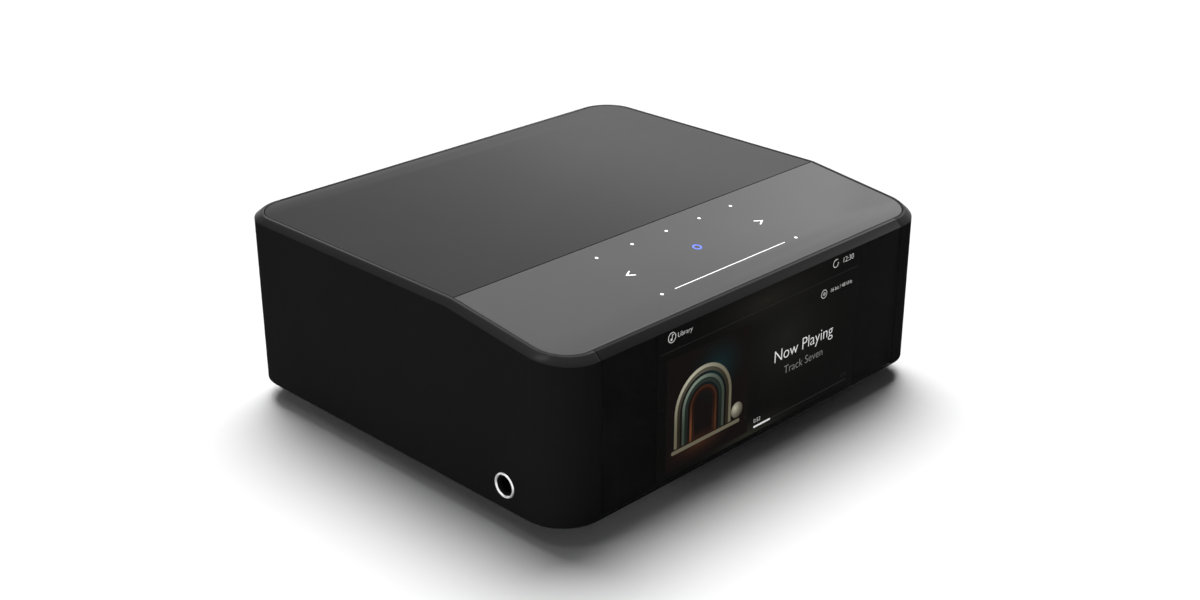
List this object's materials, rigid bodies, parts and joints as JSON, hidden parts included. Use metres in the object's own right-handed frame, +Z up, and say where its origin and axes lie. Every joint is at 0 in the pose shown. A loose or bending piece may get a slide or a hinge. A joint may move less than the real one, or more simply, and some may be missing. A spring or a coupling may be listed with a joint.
{
  "type": "network music streamer",
  "caption": "Low desktop audio streamer: bevelled housing on an inset foot, front display glass, tilted touch glass, side headphone sockets and a rear connector bay.",
  "frame": {"origin": "on the table under the middle of the housing", "axes": "+X to the right seen from the front, -Y the way the front faces, +Z up"},
  "size_m": [0.2208, 0.1934, 0.0845],
  "materials": {
    "satin_shell": "satin black, fine moulded texture",
    "front_glass": "dark tinted polished glass",
    "cover_grey": "matt charcoal",
    "touch_glass": "smooth charcoal back-painted glass",
    "dark_steel": "matt black sheet",
    "base_plastic": "moulded black",
    "foot_rubber": "soft black rubber",
    "bright_ring": "polished",
    "socket_black": "moulded black",
    "display_cell": "dark display cell",
    "plain_steel": "bare sheet steel",
    "circuit_board": "solder mask",
    "chip_plastic": "moulded black",
    "light_plastic": "white diffuser",
    "ribbon_film": "polyimide film",
    "sink_black": "black anodised",
    "sink_plain": "plain extrusion",
    "gilt_brass": "gilt",
    "can_sleeve": "printed sleeve",
    "core_ferrite": "ferrite and tape",
    "wire_red": "insulated wire",
    "contact_plate": "plated contact",
    "port_screen": "tinned screen",
    "insert_white": "white insulator",
    "insert_red": "red insulator",
    "shutter_grey": "moulded dark grey",
    "zinc_screw": "zinc plated"
  },
  "bodies": {
    "housing": {"side_shell_left": "satin_shell", "side_shell_right": "satin_shell", "front_fascia": "satin_shell", "front_glass": "front_glass", "top_cover": "cover_grey", "touch_glass": "touch_glass", "rear_frame": "satin_shell", "io_plate": "dark_steel", "base_plate": "base_plastic", "plinth": "base_plastic", "foot_pad": "foot_rubber", "headphone_ring_left": "bright_ring", "headphone_ring_right": "bright_ring", "headphone_socket_left": "socket_black", "headphone_socket_right": "socket_black", "headphone_boards": "circuit_board", "display_panel": "display_cell", "display_bracket": "plain_steel", "display_board": "circuit_board", "display_ribbon": "ribbon_film", "touch_guide": "light_plastic", "touch_board": "circuit_board", "touch_lights": "light_plastic", "touch_ribbon": "ribbon_film", "main_board": "circuit_board", "processor": "chip_plastic", "heat_sink": "sink_black", "memory_chips": "chip_plastic", "wireless_module": "port_screen", "antennas": "gilt_brass", "board_standoffs": "gilt_brass", "board_pillars": "gilt_brass", "link_header": "socket_black", "analog_board": "circuit_board", "converter_chips": "chip_plastic", "signal_capacitors": "can_sleeve", "power_board": "circuit_board", "power_transformer": "core_ferrite", "bulk_capacitors": "can_sleeve", "power_heat_sink": "sink_plain", "power_loom": "wire_red", "mains_inlet": "socket_black", "mains_pins": "contact_plate", "network_socket": "port_screen", "network_contacts": "gilt_brass", "data_socket": "port_screen", "video_socket": "port_screen", "port_tongues": "socket_black", "optical_socket": "socket_black", "phono_housings": "socket_black", "phono_sleeves": "gilt_brass", "phono_insert_left": "insert_white", "phono_insert_right": "insert_red", "balanced_sockets": "socket_black", "balanced_pins": "contact_plate", "minijack_sockets": "socket_black", "base_screws": "zinc_screw", "rear_screws": "zinc_screw", "board_screws": "zinc_screw"},
    "shutter": {"optical_shutter": "shutter_grey"}
  },
  "joints": [
    {"name": "shutter_hinge", "type": "hinge", "parent": "housing", "child": "shutter", "pos_m": [-0.02474, 0.08335, 0.0309], "axis": [-1, 0, 0], "range_deg": [0, 85], "stiffness_Nm_per_rad": 0.00002}
  ]
}
